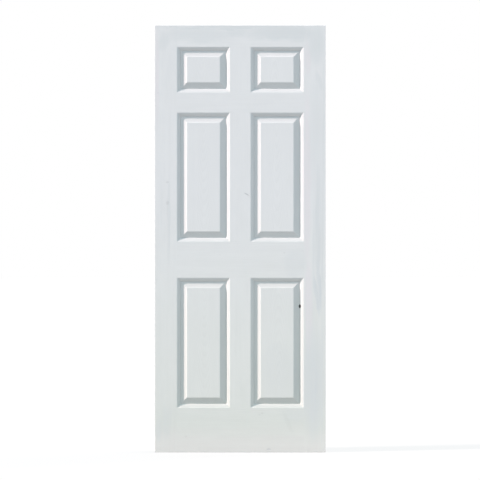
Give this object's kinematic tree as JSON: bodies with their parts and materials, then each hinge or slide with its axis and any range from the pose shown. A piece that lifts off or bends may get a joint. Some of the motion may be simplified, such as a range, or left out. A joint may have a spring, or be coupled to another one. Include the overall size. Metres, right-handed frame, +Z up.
{
  "type": "panel door leaf",
  "caption": "White painted timber door leaf: raised panels float in a grooved frame of stiles, rails and muntins, tenoned and wedged. Plain edges, ready to hang.",
  "frame": {"origin": "middle of the leaf's bottom edge, half way through its thickness", "axes": "+Z up the leaf, +X across it from the hinge stile to the lock stile, -Y out of the front face that the picture shows"},
  "size_m": [0.813, 0.035, 2.032],
  "materials": {
    "frame_paint": "white primer paint on timber, matt, lightly streaked and marked",
    "panel_paint": "white primer paint on timber, matt"
  },
  "bodies": {
    "root": {"bottom_left_panel": "panel_paint", "bottom_muntin": "frame_paint", "bottom_rail": "frame_paint", "bottom_rail_hinge_wedges": "frame_paint", "bottom_rail_lock_wedges": "frame_paint", "bottom_right_panel": "panel_paint", "frieze_rail": "frame_paint", "frieze_rail_hinge_wedges": "frame_paint", "frieze_rail_lock_wedges": "frame_paint", "hinge_stile": "frame_paint", "lock_rail": "frame_paint", "lock_rail_hinge_wedges": "frame_paint", "lock_rail_lock_wedges": "frame_paint", "lock_stile": "frame_paint", "middle_left_panel": "panel_paint", "middle_muntin": "frame_paint", "middle_right_panel": "panel_paint", "top_left_panel": "panel_paint", "top_muntin": "frame_paint", "top_rail": "frame_paint", "top_rail_hinge_wedges": "frame_paint", "top_rail_lock_wedges": "frame_paint", "top_right_panel": "panel_paint"}
  },
  "joints": []
}
